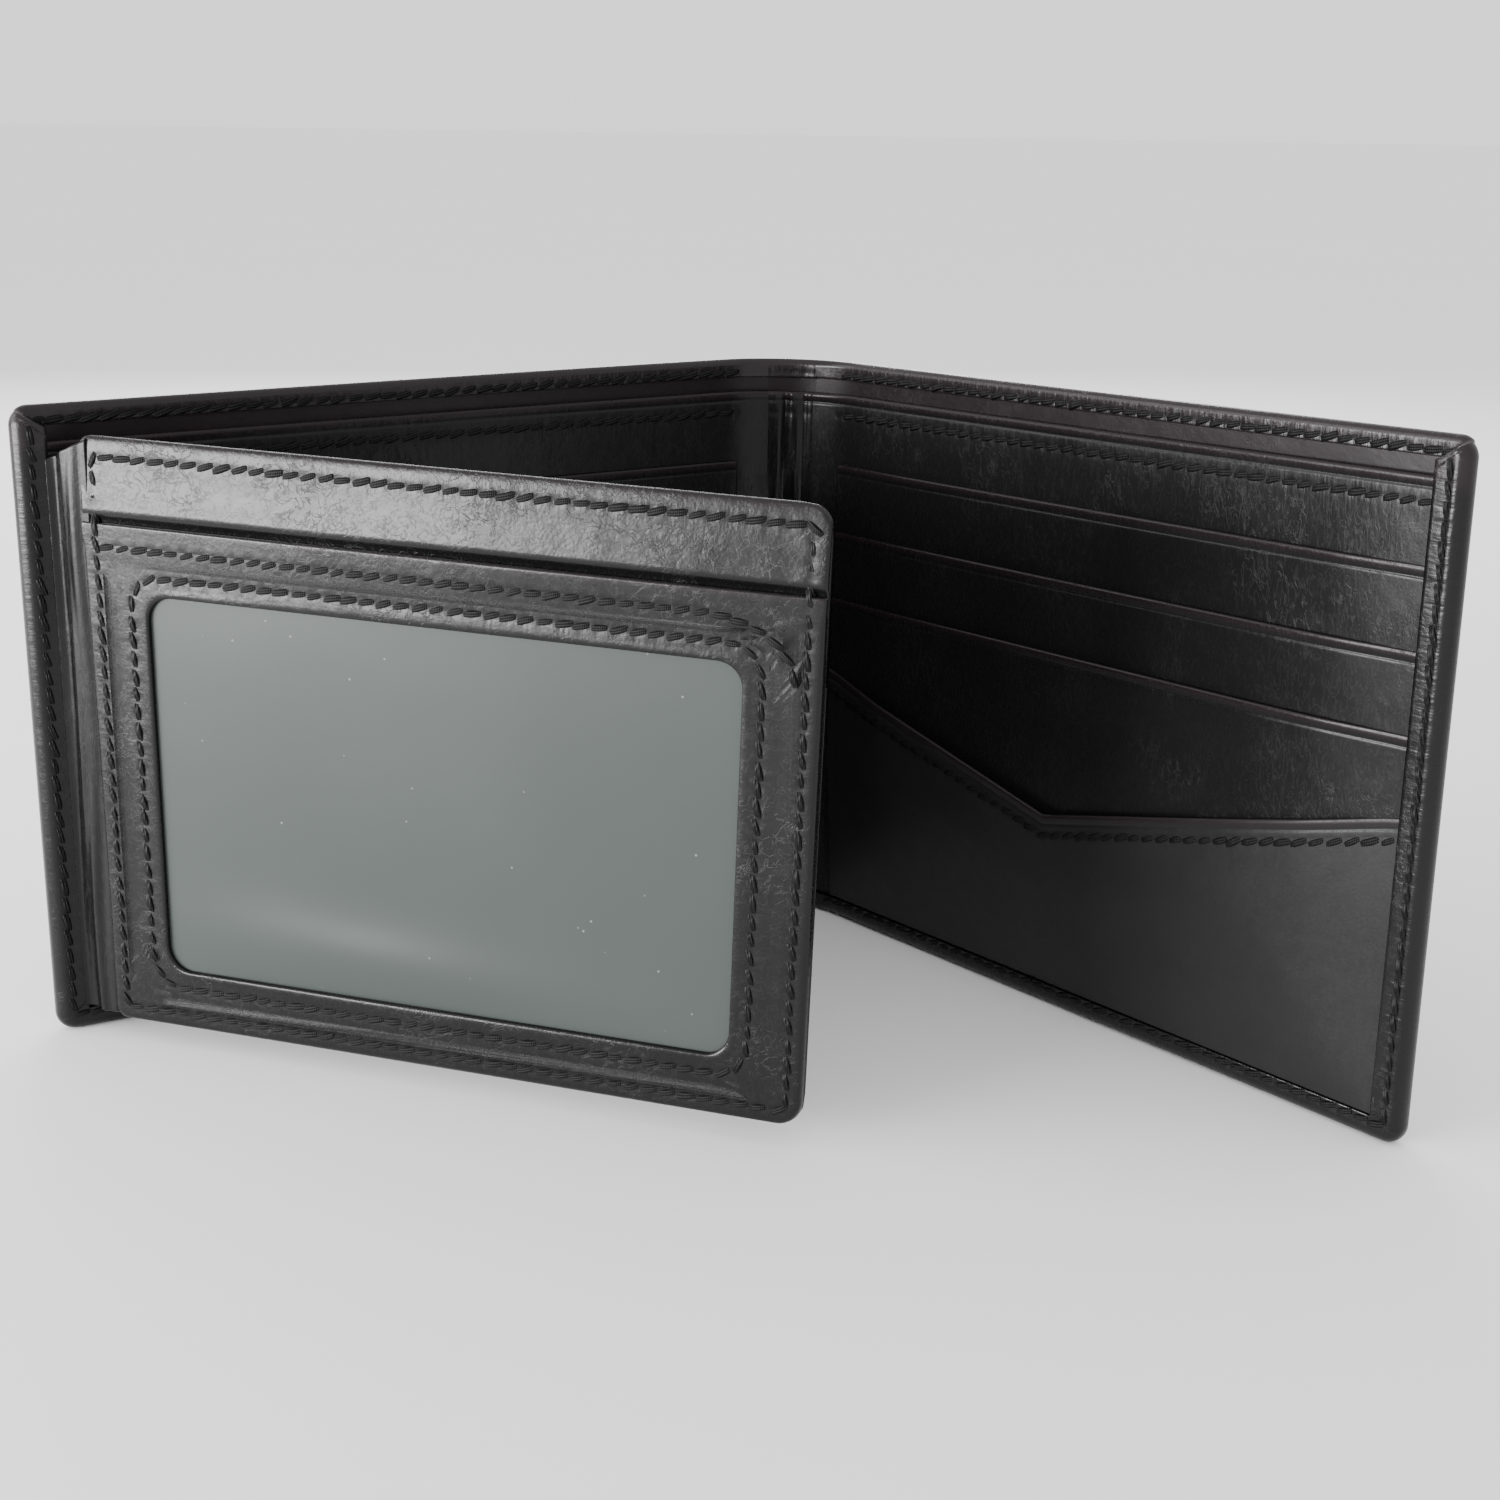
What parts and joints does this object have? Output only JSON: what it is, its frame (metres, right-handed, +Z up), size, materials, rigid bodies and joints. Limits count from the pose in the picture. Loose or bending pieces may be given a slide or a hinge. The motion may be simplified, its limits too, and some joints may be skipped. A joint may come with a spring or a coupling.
{
  "type": "wallet",
  "caption": "Folding leather wallet standing open, with a bill compartment, stepped card pockets and a hinged ID-window flap between its two halves.",
  "frame": {"origin": "on the ground under the middle of the bounding box, the wallet standing open on its bottom edges", "axes": "+X along the ID flap from its hinge to its free edge, -Y the way the window faces, +Z up along the fold lines"},
  "size_m": [0.1768, 0.0868, 0.086],
  "materials": {
    "leather": "glossy smooth black with a fine grain",
    "edge_leather": "glossy black, slightly brown where it is turned over an edge",
    "lining": "matt black lining",
    "window_film": "clear vinyl, faintly grey-green",
    "thread": "waxed black thread"
  },
  "bodies": {
    "left_half": {"left_cover": "leather", "left_lining": "lining", "left_bill_divider": "leather", "left_side_hem": "edge_leather", "left_bottom_hem": "edge_leather", "left_top_hem": "edge_leather", "left_card_pocket_1": "leather", "left_card_pocket_2": "leather", "left_card_pocket_3": "leather", "left_bottom_pocket": "leather", "flap_hinge_gusset": "leather", "left_edge_stitching": "thread", "left_divider_stitching": "thread"},
    "spine_left": {"spine_left_cover": "leather", "spine_left_lining": "lining", "spine_left_bill_divider": "leather", "spine_left_top_hem": "edge_leather"},
    "spine_right": {"spine_right_cover": "leather", "spine_right_lining": "lining", "spine_right_bill_divider": "leather", "spine_right_top_hem": "edge_leather"},
    "right_half": {"right_cover": "leather", "right_lining": "lining", "right_bill_divider": "leather", "right_side_hem": "edge_leather", "right_bottom_hem": "edge_leather", "right_top_hem": "edge_leather", "right_card_pocket_1": "leather", "right_card_pocket_2": "leather", "right_card_pocket_3": "leather", "right_notched_pocket": "leather", "right_notch_stitching": "thread", "right_edge_stitching": "thread", "right_divider_stitching": "thread"},
    "flap": {"flap_back": "leather", "flap_top_panel": "leather", "flap_hinge_edge": "leather", "flap_free_edge": "leather", "flap_bottom_edge": "leather", "flap_rear_pocket": "leather", "id_window_frame": "leather", "id_window_film": "window_film", "flap_edge_stitching": "thread", "id_window_stitching": "thread"}
  },
  "joints": [
    {"name": "fold_left", "type": "hinge", "parent": "left_half", "child": "spine_left", "pos_m": [-0.01819, 0.03946, 0.043], "axis": [0, 0, -1], "range_deg": [-27, 33]},
    {"name": "fold_middle", "type": "hinge", "parent": "spine_left", "child": "spine_right", "pos_m": [-0.01103, 0.04242, 0.043], "axis": [0, 0, -1], "range_deg": [-27, 33]},
    {"name": "fold_right", "type": "hinge", "parent": "spine_right", "child": "right_half", "pos_m": [-0.00331, 0.04182, 0.043], "axis": [0, 0, -1], "range_deg": [-27, 33]},
    {"name": "flap_swing", "type": "hinge", "parent": "left_half", "child": "flap", "pos_m": [-0.07945, -0.04026, 0.041], "axis": [0, 0, -1], "range_deg": [-49.5, 130.5]}
  ]
}
